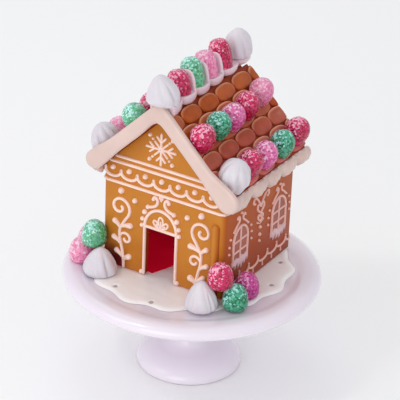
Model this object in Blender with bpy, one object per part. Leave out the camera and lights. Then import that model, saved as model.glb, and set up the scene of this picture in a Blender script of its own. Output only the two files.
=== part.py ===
"""Toy gingerbread house on its cake stand, moulded in plastic.

Metres, +Z up. The gable with the door looks along -Y. The origin is on the floor, under the
middle of the stand. The house stands a little left of and behind the stand's middle.
"""
import math

import bmesh
import bpy
from mathutils import Vector

MM = 0.001
ROOT2 = math.sqrt(2.0)
UP = Vector((0.0, 0.0, 1.0))
GAP = 0.3 * MM                       # air between pieces that touch
SHARP_ANGLE = math.radians(50.0)     # an edge that turns more than this is shaded sharp

# Cake stand
PLATE_RADIUS = 90.0 * MM
RIM_TOP = 77.0 * MM
RIM_HALF_HEIGHT = 5.5 * MM
RIM_ROUND = 8.0 * MM                 # how far the rim's rounding reaches inward
WELL_RADIUS = 73.0 * MM
WELL_FLOOR = 75.2 * MM
FOOT_RADIUS = 37.1 * MM
FOOT_FLAT_RADIUS = 34.5 * MM
FOOT_DOME_BASE = 2.6 * MM
FOOT_DOME_HEIGHT = 12.0 * MM
NECK_RADIUS = 12.0 * MM
STAND_SIDES = 44

# Icing sheet in the well
ICING_TOP = RIM_TOP
ICING_RADIUS = 66.3 * MM
ICING_SPREAD = 4.0 * MM              # the sheet is longer on one diagonal
ICING_WAVE = 1.8 * MM
ICING_WAVES = 14
ICING_LIP = 0.9 * MM
PIN_HOLE_RADIUS = 2.2 * MM
PIN_HOLE_DEPTH = 1.0 * MM
PIN_HOLES = ((49.1, 37.7), (59.6, 6.7), (4.9, -59.9), (-26.6, -55.8))    # mm

# House body
HOUSE_X = -5.3 * MM
HALF_WIDTH = 48.3 * MM
FRONT_Y = -32.2 * MM
BACK_Y = 61.9 * MM
WALL = 5.0 * MM
WALL_FOOT = ICING_TOP + GAP
CORNER_ROUND = 4.0 * MM
APEX = 200.7 * MM                    # underside of the roof, under the ridge; the pitch is 45 degrees
DOOR_X = -6.3 * MM
DOOR_HALF_WIDTH = 12.5 * MM
DOOR_HEIGHT = 37.0 * MM
RIB_X = 36.5 * MM
RIB_RADIUS = 3.0 * MM
RIB_TOP = 133.4 * MM

# Roof slabs, laid with courses of fish-scale tiles
ROOF_FRONT_Y = -36.9 * MM
ROOF_BACK_Y = 66.0 * MM
SLAB_LENGTH = 70.0 * MM              # along the underside
TILE_LOW = 6.0 * MM                  # slab thickness where a tile comes out from under the last
TILE_HIGH = 7.2 * MM                 # and at its round lower edge
TILE_PITCH = 21.6 * MM
TILE_STEPS = 6                       # columns of the mesh to one tile
TILE_PHASE_Y = -16.4 * MM            # middle of one tile in every second course
COURSE_RUN = 7.85 * MM               # a course's horizontal run
FIRST_COURSE_RUN = 7.4 * MM
SCALLOP_RUN = 5.6 * MM
COURSES = 6

# Icing on the house
GABLE_FRONT_Y = -42.2 * MM
GABLE_BACK_Y = ROOF_FRONT_Y - GAP
GABLE_BAND = 10.2 * MM               # thickness square to the slope
GABLE_LENGTH = {1: 69.0 * MM, -1: 66.8 * MM}   # to the middle of the round end, by side
RIDGE_TOP = 212.5 * MM
EAVE_BACK_Y = 69.5 * MM
RIDGE_BACK_Y = 68.5 * MM

# Sweets
GUMDROP_RADIUS = 8.6 * MM
GUMDROP_HEIGHT = 17.0 * MM
GUMDROP_SIDES = 10
GUMDROP_PROFILE = ((0.84, 0.0), (1.0, 0.26), (0.97, 0.51), (0.79, 0.75), (0.43, 0.94))
ROOF_GUMDROP_HEIGHT = 14.4 * MM
DOLLOP_RADIUS = 11.4 * MM
DOLLOP_HEIGHT = 20.0 * MM
DOLLOP_RIBS = 7
DOLLOP_RIB_DEPTH = 0.07              # of the radius
DOLLOP_SIDES = 3 * DOLLOP_RIBS
DOLLOP_PROFILE = ((0.92, 0.0), (1.0, 0.16), (0.93, 0.36), (0.77, 0.58), (0.53, 0.8), (0.28, 0.94))
SWEET_LEAN = math.radians(22.5)      # on the roof a sweet leans out from upright by this

# Dollops on the ridge: place, y, radius and height in mm; gumdrops: colour, y and height in mm
RIDGE_DOLLOPS = (("front", -35.6, 11.4, 18.8), ("back", 58.0, 9.8, 20.0))
RIDGE_GUMDROPS = (("red", -15.2, 15.0), ("green", 1.7, 17.8), ("pink", 18.9, 16.6),
                  ("red", 37.8, 18.4))
RIDGE_GUMDROP_RADIUS = 7.8 * MM
RIDGE_LEAN = math.radians(13.0)      # the ridge's sweets lean to the left

# Sweets on the slopes, from the front: colour, y and horizontal run from the ridge in mm
MID_GUMDROPS = {
    1: (("red", -28.5, 24.5), ("green", -7.6, 23.8), ("pink", 10.0, 24.4), ("red", 30.3, 23.6),
        ("light_pink", 51.8, 21.9)),
    -1: (("green", -28.5, 24.4), ("red", -7.6, 24.4), ("light_pink", 10.0, 24.4),
         ("green", 30.3, 24.4), ("pink", 51.8, 24.4)),
}
EAVE_GUMDROPS = {
    1: (("red", -3.5, 47.0), ("pink", 15.3, 47.8), ("green", 37.6, 48.2), ("red", 59.8, 47.4)),
    -1: (("pink", -7.4, 49.6), ("green", 14.8, 49.0), ("red", 37.0, 49.0),
         ("light_pink", 59.0, 49.0)),
}
# Eave dollops: y, run, radius, height in mm
EAVE_DOLLOPS = {1: (-24.7, 47.6, 11.0, 18.0), -1: (-26.4, 49.2, 10.4, 18.0)}

# Looks: linear base colour, roughness, how much light passes through
LOOKS = {
    "stand": ((0.72, 0.62, 0.74), 0.25, 0.0),
    "icing": ((0.80, 0.62, 0.56), 0.40, 0.0),
    "piped_icing": ((0.82, 0.58, 0.50), 0.35, 0.0),
    "meringue": ((0.80, 0.77, 0.84), 0.45, 0.0),
    "gingerbread": ((0.52, 0.21, 0.05), 0.35, 0.0),
    "tiles": ((0.36, 0.10, 0.03), 0.20, 0.2),
    "red": ((0.65, 0.02, 0.08), 0.25, 0.4),
    "green": ((0.05, 0.40, 0.22), 0.25, 0.4),
    "pink": ((0.75, 0.13, 0.36), 0.25, 0.4),
    "light_pink": ((0.85, 0.35, 0.50), 0.25, 0.4),
}


def clear_scene():
    for old in list(bpy.data.objects):
        bpy.data.objects.remove(old, do_unlink=True)


def finish_material(obj, look):
    colour, roughness, transmission = LOOKS[look]
    material = bpy.data.materials.new(obj.name + "_finish")
    material.use_nodes = True
    shader = material.node_tree.nodes["Principled BSDF"]
    shader.inputs["Base Color"].default_value = (*colour, 1.0)
    shader.inputs["Roughness"].default_value = roughness
    shader.inputs["Metallic"].default_value = 0.0
    shader.inputs["Transmission Weight"].default_value = transmission
    obj.data.materials.append(material)


def add_object(name, bm, look):
    bmesh.ops.recalc_face_normals(bm, faces=bm.faces)
    mesh = bpy.data.meshes.new(name)
    bm.to_mesh(mesh)
    bm.free()
    mesh.shade_smooth()
    mesh.set_sharp_from_angle(angle=SHARP_ANGLE)
    obj = bpy.data.objects.new(name, mesh)
    bpy.context.scene.collection.objects.link(obj)
    if look:
        finish_material(obj, look)
    return obj


def loft(name, rings, look, tip=None):
    """Closed solid through rings of equally many points; the far end is flat, or meets at tip."""
    bm = bmesh.new()
    rows = [[bm.verts.new(point) for point in ring] for ring in rings]
    count = len(rows[0])
    for lower, upper in zip(rows, rows[1:]):
        for i in range(count):
            j = (i + 1) % count
            bm.faces.new((lower[i], lower[j], upper[j], upper[i]))
    bm.faces.new(rows[0])
    if tip is None:
        bm.faces.new(rows[-1])
    else:
        point = bm.verts.new(tip)
        for i in range(count):
            bm.faces.new((rows[-1][i], rows[-1][(i + 1) % count], point))
    return add_object(name, bm, look)


def circle(radius, z, sides, x=0.0, y=0.0):
    turn = 2.0 * math.pi / sides
    return [Vector((x + radius * math.cos(i * turn), y + radius * math.sin(i * turn), z))
            for i in range(sides)]


def combine(target, tool, operation):
    """Boolean of target with tool, which is only a shape to work with."""
    tool.hide_render = True
    tool.display_type = 'WIRE'
    modifier = target.modifiers.new(tool.name, 'BOOLEAN')
    modifier.operation = operation
    modifier.solver = 'EXACT'
    modifier.object = tool


# ---------------------------------------------------------------- cake stand

def stand_profile():
    """Radius and height from the floor, up the foot and the neck, round the rim to the well."""
    points = [(FOOT_FLAT_RADIUS, 0.0)]
    dome_steps = 5
    for i in range(dome_steps + 1):
        angle = 0.5 * math.pi * i / (dome_steps + 1)
        radius = NECK_RADIUS + (FOOT_RADIUS - NECK_RADIUS) * math.cos(angle)
        points.append((radius, FOOT_DOME_BASE + FOOT_DOME_HEIGHT * math.sin(angle)))
    points += [(NECK_RADIUS + 2.0 * MM, 16.5 * MM), (NECK_RADIUS, 24.0 * MM),
               (NECK_RADIUS, 48.0 * MM), (18.0 * MM, 58.0 * MM), (34.0 * MM, 63.5 * MM)]
    rim_middle = RIM_TOP - RIM_HALF_HEIGHT
    rim_steps = 6
    for i in range(rim_steps + 1):
        angle = math.pi * (i / rim_steps - 0.5)
        points.append((PLATE_RADIUS - RIM_ROUND + RIM_ROUND * math.cos(angle),
                       rim_middle + RIM_HALF_HEIGHT * math.sin(angle)))
    points += [(WELL_RADIUS + 2.4 * MM, RIM_TOP - 0.2 * MM), (WELL_RADIUS, WELL_FLOOR)]
    return points


def make_stand():
    loft("cake_stand", [circle(r, z, STAND_SIDES) for r, z in stand_profile()], "stand")


# ---------------------------------------------------------------- icing sheet

def icing_outline(z, inset):
    ring = []
    sides = 5 * ICING_WAVES
    for i in range(sides):
        angle = 2.0 * math.pi * i / sides
        radius = (ICING_RADIUS - ICING_SPREAD * math.sin(-2.0 * angle)
                  + ICING_WAVE * math.cos(ICING_WAVES * angle - 0.9) - inset)
        ring.append(Vector((radius * math.cos(angle), radius * math.sin(angle), z)))
    return ring


def make_icing_sheet():
    under = WELL_FLOOR + GAP
    rings = [icing_outline(under, 0.4 * MM), icing_outline(under + 0.5 * MM, 0.0),
             icing_outline(ICING_TOP, ICING_LIP)]
    sheet = loft("icing_sheet", rings, "icing")
    for number, (x, y) in enumerate(PIN_HOLES, 1):
        rings = [circle(PIN_HOLE_RADIUS, z, 10, x * MM, y * MM)
                 for z in (ICING_TOP - PIN_HOLE_DEPTH, ICING_TOP + 2.0 * MM)]
        combine(sheet, loft(f"pin_hole_{number}", rings, None), 'DIFFERENCE')


# ---------------------------------------------------------------- walls

def gable_top(run):
    return APEX - GAP * ROOT2 - run


def gable_outline(with_door):
    """The gable's outline as x and z, from the left foot round by the right."""
    outline = [(HOUSE_X - HALF_WIDTH, WALL_FOOT)]
    if with_door:
        left, right = DOOR_X - DOOR_HALF_WIDTH, DOOR_X + DOOR_HALF_WIDTH
        lintel = ICING_TOP + DOOR_HEIGHT
        outline += [(left, WALL_FOOT), (left, lintel), (right, lintel), (right, WALL_FOOT)]
    outline += [(HOUSE_X + HALF_WIDTH, WALL_FOOT),
                (HOUSE_X + HALF_WIDTH, gable_top(HALF_WIDTH)),
                (HOUSE_X, gable_top(0.0)),
                (HOUSE_X - HALF_WIDTH, gable_top(HALF_WIDTH))]
    return outline


def make_gable_wall(name, outer_y, inner_y, with_door):
    """A gable wall whose two upright outer edges are rounded."""
    bm = bmesh.new()
    outline = gable_outline(with_door)
    outer = [bm.verts.new((x, outer_y, z)) for x, z in outline]
    inner = [bm.verts.new((x, inner_y, z)) for x, z in outline]
    count = len(outline)
    for i in range(count):
        j = (i + 1) % count
        bm.faces.new((outer[i], outer[j], inner[j], inner[i]))
    bm.faces.new(outer)
    bm.faces.new(inner)
    edges = [edge for edge in bm.edges
             if all(abs(vert.co.y - outer_y) < GAP for vert in edge.verts)
             and all(abs(abs(vert.co.x - HOUSE_X) - HALF_WIDTH) < GAP for vert in edge.verts)]
    bmesh.ops.recalc_face_normals(bm, faces=bm.faces)
    bmesh.ops.bevel(bm, geom=edges, offset=CORNER_ROUND, segments=4, profile=0.5,
                    affect='EDGES')
    return add_object(name, bm, "gingerbread")


def make_side_wall(name, side):
    outer, inner = HALF_WIDTH, HALF_WIDTH - WALL
    section = [(outer, WALL_FOOT), (outer, gable_top(outer)),
               (inner, gable_top(inner)), (inner, WALL_FOOT)]
    ends = (FRONT_Y + WALL + GAP, BACK_Y - WALL - GAP)
    rings = [[Vector((HOUSE_X + side * run, y, z)) for run, z in section] for y in ends]
    loft(name, rings, "gingerbread")


def make_walls():
    front = make_gable_wall("wall_front", FRONT_Y, FRONT_Y + WALL, True)
    rings = [circle(RIB_RADIUS, WALL_FOOT, 12, RIB_X, FRONT_Y),
             circle(RIB_RADIUS, RIB_TOP - 1.0 * MM, 12, RIB_X, FRONT_Y),
             circle(RIB_RADIUS - 1.0 * MM, RIB_TOP, 12, RIB_X, FRONT_Y)]
    combine(front, loft("corner_rib", rings, None), 'UNION')
    make_gable_wall("wall_back", BACK_Y, BACK_Y - WALL, False)
    make_side_wall("wall_left", -1)
    make_side_wall("wall_right", 1)


# ---------------------------------------------------------------- roof

def roof_point(side, run, height, y):
    """Point at a horizontal run from the ridge and a height square to the slope's underside."""
    return Vector((HOUSE_X + side * run, y, APEX - run + height * ROOT2))


def slope_point(side, along, height, y):
    """Point at a distance down the slope's underside and a height square to it."""
    return roof_point(side, (along + height) / ROOT2, height, y)


def course_edge(course, y):
    """Run of a tile course's scalloped lower edge at y."""
    shift = 0.0 if course % 2 else 0.5
    tiles = (y - TILE_PHASE_Y) / TILE_PITCH + shift
    off_middle = 2.0 * abs(tiles - round(tiles))
    bulge = math.sqrt(max(0.0, 1.0 - off_middle ** 2))
    return FIRST_COURSE_RUN + course * COURSE_RUN - SCALLOP_RUN * (1.0 - bulge)


def roof_section(side, y):
    mitre = 0.5 * GAP
    ring = [roof_point(side, mitre, 0.0, y), roof_point(side, mitre, TILE_LOW, y)]
    for course in range(COURSES):
        run = course_edge(course, y)
        ring += [roof_point(side, run, TILE_HIGH, y), roof_point(side, run, TILE_LOW, y)]
    ring += [slope_point(side, SLAB_LENGTH, TILE_HIGH, y), slope_point(side, SLAB_LENGTH, 0.0, y)]
    return ring


def make_roof():
    step = TILE_PITCH / TILE_STEPS
    first = math.ceil((ROOF_FRONT_Y - TILE_PHASE_Y) / step + 0.2)
    last = math.floor((ROOF_BACK_Y - TILE_PHASE_Y) / step - 0.2)
    stations = [ROOF_FRONT_Y]
    stations += [TILE_PHASE_Y + i * step for i in range(first, last + 1)]
    stations.append(ROOF_BACK_Y)
    for name, side in (("roof_left", -1), ("roof_right", 1)):
        loft(name, [roof_section(side, y) for y in stations], "tiles")


# ---------------------------------------------------------------- icing on the house

def gable_band_section(side, y, inset):
    """Half of the gable's icing band at y, with its outline drawn in by inset."""
    mitre = 0.5 * GAP
    half = 0.5 * GABLE_BAND
    ring = [roof_point(side, mitre, inset, y)]
    steps = 6
    for i in range(steps + 1):
        angle = math.pi * (i / steps - 0.5)
        ring.append(slope_point(side, GABLE_LENGTH[side] + (half - inset) * math.cos(angle),
                                half + (half - inset) * math.sin(angle), y))
    flat = RIDGE_TOP - GAP - inset
    shoulder = APEX + (GABLE_BAND - inset) * ROOT2 - flat
    ring += [Vector((HOUSE_X + side * shoulder, y, flat)), Vector((HOUSE_X + side * mitre, y, flat))]
    return ring


def make_gable_icing():
    depth = GABLE_BACK_Y - GABLE_FRONT_Y
    for name, side in (("gable_icing_left", -1), ("gable_icing_right", 1)):
        rounding = ((0.0, 1.9 * MM), (0.12, 0.8 * MM), (0.32, 0.0), (0.8, 0.0), (1.0, 0.8 * MM))
        rings = [gable_band_section(side, GABLE_FRONT_Y + part * depth, inset)
                 for part, inset in rounding]
        loft(name, rings, "piped_icing")


def drip(y, middles):
    """1 in the middle of an icing drip, 0 between two of them."""
    nearest = min(middles, key=lambda middle: abs(y - middle))
    others = [abs(nearest - middle) for middle in middles
              if middle != nearest and (middle - nearest) * (y - nearest) > 0.0]
    reach = 0.5 * min(others) if others else 11.0 * MM
    return math.sqrt(max(0.0, 1.0 - ((y - nearest) / reach) ** 2))


def stations_along(front, back, step):
    count = round((back - front) / step)
    return [front + (back - front) * i / count for i in range(count + 1)]


def drawn_in(ring, share):
    middle = sum(ring, Vector()) / len(ring)
    return [point.lerp(middle, share) for point in ring]


def eave_section(side, y, swell):
    """The eave's icing bead, as distance down the slope and height, in millimetres."""
    section = ((70.3, 7.5), (72.8 + 0.8 * swell, 7.2), (75.0 + 1.7 * swell, 4.8),
               (75.8 + 2.3 * swell, 1.4), (75.0 + 2.5 * swell, -1.7 - 0.8 * swell),
               (72.8 + 2.0 * swell, -3.0 - 1.2 * swell), (71.7, -2.6), (70.3, 0.0))
    return [slope_point(side, along * MM, height * MM, y) for along, height in section]


def make_eave_icing():
    for name, side in (("eave_icing_left", -1), ("eave_icing_right", 1)):
        middles = [EAVE_DOLLOPS[side][0] * MM] + [(y + 1.0) * MM for _, y, _ in EAVE_GUMDROPS[side]]
        rings = [eave_section(side, y, drip(y, middles))
                 for y in stations_along(ROOF_FRONT_Y, EAVE_BACK_Y - 1.5 * MM, 4.3 * MM)]
        rings.append([point + Vector((0.0, 1.5 * MM, 0.0)) for point in drawn_in(rings[-1], 0.45)])
        loft(name, rings, "piped_icing")


def ridge_section(y, swell):
    """The ridge's icing, which fills under the sweets and drips down both slopes."""
    under = APEX + TILE_HIGH * ROOT2 + GAP * ROOT2
    half = ((4.5 + 1.5 * swell, None), (5.6 + 2.3 * swell, 207.2 - 1.1 * swell),
            (6.3 + 2.9 * swell, 209.5 - 0.9 * swell), (6.3 + 2.9 * swell, 211.2),
            (5.4 + 2.6 * swell, RIDGE_TOP / MM))
    right = []
    for run, z in half:
        run *= MM
        right.append((run, under - run if z is None else z * MM))
    ring = [Vector((HOUSE_X, y, under))]
    ring += [Vector((HOUSE_X + run, y, z)) for run, z in right]
    ring += [Vector((HOUSE_X - run, y, z)) for run, z in reversed(right)]
    return ring


def make_ridge_icing():
    middles = [y * MM for _, y, _, _ in RIDGE_DOLLOPS] + [y * MM for _, y, _ in RIDGE_GUMDROPS]
    rings = [ridge_section(y, drip(y, middles))
             for y in stations_along(ROOF_FRONT_Y, RIDGE_BACK_Y, 4.4 * MM)]
    loft("ridge_icing", rings, "meringue")


# ---------------------------------------------------------------- sweets

def sweet_rings(foot, normal, axis, profile, radius, height, sides, rib_depth=0.0):
    """Rings of a domed sweet whose foot is cut by the plane through foot, square to normal."""
    across = axis.orthogonal().normalized()
    aside = axis.cross(across)
    rings = []
    for width, level in profile:
        ring = []
        for i in range(sides):
            angle = 2.0 * math.pi * i / sides
            rib = rib_depth * math.cos(DOLLOP_RIBS * (angle + 0.5 * level))
            reach = radius * width * (1.0 + rib)
            point = foot + axis * (height * level)
            point += across * (reach * math.cos(angle)) + aside * (reach * math.sin(angle))
            clearance = (point - foot).dot(normal)
            least = 0.4 * height * level
            if level == 0.0 or clearance < least:
                point += axis * ((least - clearance) / axis.dot(normal))
            ring.append(point)
        rings.append(ring)
    return rings


def make_gumdrop(name, colour, foot, normal=UP, axis=UP, radius=GUMDROP_RADIUS,
                 height=GUMDROP_HEIGHT):
    rings = sweet_rings(foot, normal, axis, GUMDROP_PROFILE, radius, height, GUMDROP_SIDES)
    loft(name, rings, colour, foot + axis * height)


def make_dollop(name, foot, normal=UP, axis=UP, radius=DOLLOP_RADIUS, height=DOLLOP_HEIGHT):
    rings = sweet_rings(foot, normal, axis, DOLLOP_PROFILE, radius, height, DOLLOP_SIDES,
                        DOLLOP_RIB_DEPTH)
    loft(name, rings, "meringue", foot + axis * height)


def leaning(side, angle):
    return Vector((side * math.sin(angle), 0.0, math.cos(angle)))


def make_ridge_sweets():
    level = RIDGE_TOP + GAP
    for place, y, radius, height in RIDGE_DOLLOPS:
        axis = leaning(-1, RIDGE_LEAN if place == "front" else 0.0)
        make_dollop(f"dollop_ridge_{place}", Vector((HOUSE_X, y * MM, level)), axis=axis,
                    radius=radius * MM, height=height * MM)
    for number, (colour, y, height) in enumerate(RIDGE_GUMDROPS, 1):
        make_gumdrop(f"gumdrop_ridge_{number}", colour, Vector((HOUSE_X, y * MM, level)),
                     axis=leaning(-1, RIDGE_LEAN), radius=RIDGE_GUMDROP_RADIUS,
                     height=height * MM)


def make_slope_sweets():
    for word, side in (("left", -1), ("right", 1)):
        normal = leaning(side, math.radians(45.0))
        axis = leaning(side, SWEET_LEAN)

        def foot(y, run):
            return roof_point(side, run * MM, TILE_HIGH + 2.0 * GAP, y * MM)

        for row, sweets in (("mid", MID_GUMDROPS[side]), ("eave", EAVE_GUMDROPS[side])):
            for number, (colour, y, run) in enumerate(sweets, 1):
                make_gumdrop(f"gumdrop_{row}_{word}_{number}", colour, foot(y, run), normal, axis,
                             height=ROOF_GUMDROP_HEIGHT)
        y, run, radius, height = EAVE_DOLLOPS[side]
        make_dollop(f"dollop_eave_{word}", foot(y, run), normal, axis, radius * MM, height * MM)


def make_base_sweets():
    def at(x, y, z=0.0):
        return Vector((x * MM, y * MM, ICING_TOP + GAP + z * MM))

    make_dollop("dollop_base_left", at(-45.6, -46.6), radius=11.8 * MM, height=19.0 * MM)
    make_gumdrop("gumdrop_base_left_1", "pink", at(-65.8, -39.0))
    make_gumdrop("gumdrop_base_left_2", "light_pink", at(-71.2, -21.4))
    make_gumdrop("gumdrop_base_left_3", "green", at(-55.3, -39.9, 16.9))
    make_dollop("dollop_base_right", at(35.8, -47.9), height=20.0 * MM)
    make_gumdrop("gumdrop_base_right_1", "green", at(54.6, -33.6))
    make_gumdrop("gumdrop_base_right_2", "pink", at(52.6, -15.6))
    make_gumdrop("gumdrop_base_right_3", "red", at(45.9, -39.6, 16.0))


def main():
    clear_scene()
    make_stand()
    make_icing_sheet()
    make_walls()
    make_roof()
    make_gable_icing()
    make_eave_icing()
    make_ridge_icing()
    make_ridge_sweets()
    make_slope_sweets()
    make_base_sweets()


main()
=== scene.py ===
"""Looks of the toy gingerbread house on its cake stand.

Shapes are worked out in millimetres, in the frame's own axes, and turned into metres when a piece
is made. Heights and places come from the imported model's boxes.
"""

import random
from math import ceil, copysign, cos, exp, hypot, pi, radians, remainder, sin, sqrt

import bmesh
import bpy
from mathutils import Matrix, Vector, noise


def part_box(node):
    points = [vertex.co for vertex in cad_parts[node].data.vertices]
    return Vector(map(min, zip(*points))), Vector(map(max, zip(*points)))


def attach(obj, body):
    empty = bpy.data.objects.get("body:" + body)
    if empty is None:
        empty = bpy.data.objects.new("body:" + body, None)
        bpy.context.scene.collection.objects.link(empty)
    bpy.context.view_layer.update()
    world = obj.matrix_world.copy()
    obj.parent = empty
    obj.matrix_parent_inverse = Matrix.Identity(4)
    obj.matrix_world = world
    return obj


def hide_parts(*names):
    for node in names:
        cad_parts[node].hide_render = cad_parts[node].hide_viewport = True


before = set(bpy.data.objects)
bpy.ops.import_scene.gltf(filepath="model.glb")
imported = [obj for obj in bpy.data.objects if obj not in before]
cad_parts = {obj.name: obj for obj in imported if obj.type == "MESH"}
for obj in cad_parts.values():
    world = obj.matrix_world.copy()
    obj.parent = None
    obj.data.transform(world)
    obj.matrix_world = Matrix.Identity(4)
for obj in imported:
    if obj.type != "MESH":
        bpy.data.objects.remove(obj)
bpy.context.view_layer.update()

MM = 0.001
ROOT2 = sqrt(2.0)
TAU = 2.0 * pi
UP = Vector((0.0, 0.0, 1.0))
GAP = 0.3                                # air that the solids keep between touching pieces


def box_mm(node):
    low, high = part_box(node)
    return low / MM, high / MM


# -------- sizes read from the frame

BACK_LOW, BACK_HIGH = box_mm("wall_back")
WALL = BACK_HIGH.y - BACK_LOW.y
HOUSE_X = 0.5 * (BACK_LOW.x + BACK_HIGH.x)
HALF_WIDTH = 0.5 * (BACK_HIGH.x - BACK_LOW.x)
BACK_Y = BACK_HIGH.y
FRONT_Y = box_mm("wall_front")[1].y - WALL
MIDDLE_Y = 0.5 * (FRONT_Y + BACK_Y)
HALF_DEPTH = 0.5 * (BACK_Y - FRONT_Y)
WALL_FOOT = BACK_LOW.z
APEX = BACK_HIGH.z + GAP * ROOT2         # the roof's underside, under the ridge
ROOF_FRONT_Y = box_mm("roof_right")[0].y
ROOF_BACK_Y = box_mm("roof_right")[1].y
GABLE_FRONT_Y = box_mm("gable_icing_right")[0].y
RIDGE_TOP = box_mm("ridge_icing")[1].z
RIDGE_BACK_Y = box_mm("ridge_icing")[1].y
EAVE_BACK_Y = box_mm("eave_icing_right")[1].y
PLATE_RADIUS = box_mm("cake_stand")[1].x
RIM_TOP = box_mm("cake_stand")[1].z
ICING_TOP = box_mm("icing_sheet")[1].z
WELL_FLOOR = box_mm("icing_sheet")[0].z - GAP

DOOR_X = HOUSE_X - 1.0
DOOR_HALF_WIDTH = 12.5
DOOR_HEIGHT = 37.0
CORNER_ROUND = 4.0
SIDES = (("left", -1), ("right", 1))


# -------- building meshes

class Shape:
    """Points and faces of one piece, in millimetres. The tint is how pale it is: a random tone,
    and on the tiles a painted highlight along the rims.
    """

    def __init__(self):
        self.points = []
        self.faces = []
        self.tints = []

    def add_ring(self, ring, tint=0.0):
        start = len(self.points)
        self.points += [Vector(point) for point in ring]
        self.tints += [tint] * len(ring)
        return list(range(start, len(self.points)))

    def fan(self, row, tip, tint=0.0):
        """Close a ring to a point."""
        peak = self.add_ring([tip], tint)[0]
        self.faces += [(here, there, peak) for here, there in zip(row, row[1:] + row[:1])]

    def skin(self, rings, tip=None, tint=0.0, closed=False):
        """Skin rings of equally many points. The ends are flat, or the last one has a tip."""
        rows = [self.add_ring(ring, tint) for ring in rings]
        count = len(rows[0])
        for lower, upper in zip(rows, rows[1:] + rows[:1] if closed else rows[1:]):
            for i in range(count):
                j = (i + 1) % count
                self.faces.append((lower[i], lower[j], upper[j], upper[i]))
        if not closed:
            self.faces.append(tuple(rows[0]))
            if tip is None:
                self.faces.append(tuple(rows[-1]))
            else:
                self.fan(rows[-1], tip, tint)
        return self

    def paint_rim_highlights(self, rows, count):
        """Paint a highlight on the rim of the tile skinned last by raising its tint, most on its
        upslope edge.
        """
        start = len(self.points) - rows * count
        for row in range(rows):
            across = 1.0 - min(1.0, abs(row - 0.5 * rows) / 1.6)
            for i in range(count):
                upslope = max(0.0, -sin(TAU * i / count))
                self.tints[start + row * count + i] += 0.95 * across * upslope ** 0.7


def finish_piece(obj, replaces=()):
    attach(obj, "root")
    if replaces:
        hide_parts(*replaces)


def link(obj):
    bpy.context.scene.collection.objects.link(obj)
    return obj


def make_object(name, shape, material, sharp=None):
    mesh = bpy.data.meshes.new(name)
    mesh.from_pydata([point * MM for point in shape.points], [], shape.faces)
    tint = mesh.color_attributes.new("tint", "FLOAT_COLOR", "POINT")
    for item, value in zip(tint.data, shape.tints):
        item.color = (value, value, value, 1.0)
    bm = bmesh.new()
    bm.from_mesh(mesh)
    bmesh.ops.recalc_face_normals(bm, faces=bm.faces)
    bm.to_mesh(mesh)
    bm.free()
    mesh.shade_smooth()
    if sharp is not None:
        mesh.set_sharp_from_angle(angle=radians(sharp))
    mesh.materials.append(material)
    return link(bpy.data.objects.new(name, mesh))


def add_piece(name, shape, material, replaces=(), sharp=None):
    finish_piece(make_object(name, shape, material, sharp), replaces)


def apply_modifiers(obj):
    bpy.context.view_layer.update()
    depsgraph = bpy.context.evaluated_depsgraph_get()
    mesh = bpy.data.meshes.new_from_object(obj.evaluated_get(depsgraph))
    obj.modifiers.clear()
    obj.data = mesh


def combine(target, tool, operation):
    modifier = target.modifiers.new("combine", 'BOOLEAN')
    modifier.operation = operation
    modifier.solver = 'EXACT'
    modifier.object = tool
    apply_modifiers(target)
    bpy.data.objects.remove(tool, do_unlink=True)


def circle(count):
    """Cosine and sine of angles spread evenly round a circle."""
    return [(cos(TAU * i / count), sin(TAU * i / count)) for i in range(count)]


def spline(points, spacing):
    """Points about a spacing apart on a smooth curve through points of any dimension."""
    points = [Vector(point) for point in points]
    padded = [2.0 * points[0] - points[1], *points, 2.0 * points[-1] - points[-2]]
    curve = []
    for before, here, there, after in zip(padded, padded[1:], padded[2:], padded[3:]):
        steps = max(2, ceil((there - here).length / spacing))
        for i in range(steps):
            t = i / steps
            curve.append(0.5 * (2.0 * here + (there - before) * t
                                + (2.0 * before - 5.0 * here + 4.0 * there - after) * t ** 2
                                + (3.0 * here - before - 3.0 * there + after) * t ** 3))
    curve.append(points[-1])
    return curve


def smoothstep(low, high, value):
    t = min(1.0, max(0.0, (value - low) / (high - low)))
    return t * t * (3.0 - 2.0 * t)


def mix(a, b, t):
    return a + (b - a) * t


def steps_between(a, b, steps):
    return [mix(a, b, i / steps) for i in range(steps + 1)]


def superellipse(half_across, half_along, power, steps):
    """Pairs on a rounded rectangle-like outline, from +across round by +along."""
    return [(half_across * copysign(abs(c) ** power, c),
             half_along * copysign(abs(s) ** power, s)) for c, s in circle(steps)]


# -------- materials

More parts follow.
